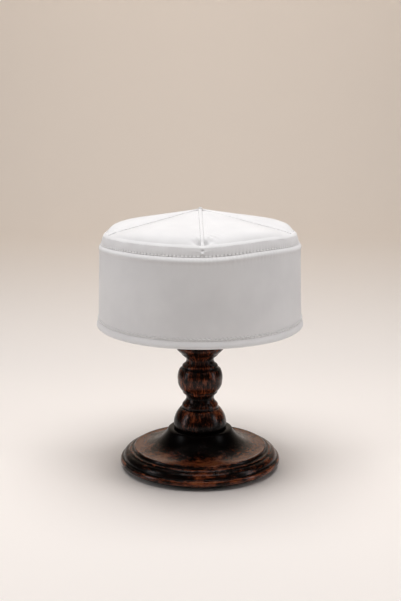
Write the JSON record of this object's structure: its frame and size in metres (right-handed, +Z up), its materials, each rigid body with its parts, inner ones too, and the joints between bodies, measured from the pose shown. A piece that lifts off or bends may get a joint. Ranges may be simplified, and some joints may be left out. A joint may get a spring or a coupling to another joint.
{
  "type": "prayer cap on a turned wooden stand",
  "caption": "Round white cotton prayer cap with a flat peaked crown of seamed panels, held up on a dark turned wooden stand.",
  "frame": {"origin": "middle of the stand's foot, on the surface that it stands on", "axes": "+Z up along the stand and the cap, -Y to the front of the cap, +X to its right"},
  "size_m": [0.182, 0.1998, 0.2345],
  "materials": {
    "cap_cotton": "plain woven white cotton, matt, pressed smooth",
    "cap_thread": "white cotton sewing thread",
    "stand_wood": "dark brown-black lacquer, rubbed through to red-brown wood, glossy"
  },
  "bodies": {
    "root": {"stand_base": "stand_wood", "stand_column": "stand_wood", "stand_post": "stand_wood", "side_band": "cap_cotton", "hem_band": "cap_cotton", "shoulder_strip": "cap_cotton", "ridge_lip": "cap_cotton", "crown_panel_front_right": "cap_cotton", "crown_panel_back_right": "cap_cotton", "crown_panel_back_left": "cap_cotton", "crown_panel_front_left": "cap_cotton", "seam_welt_front": "cap_cotton", "seam_welt_right": "cap_cotton", "seam_welt_back": "cap_cotton", "seam_welt_left": "cap_cotton", "peak_knot": "cap_thread"}
  },
  "joints": []
}
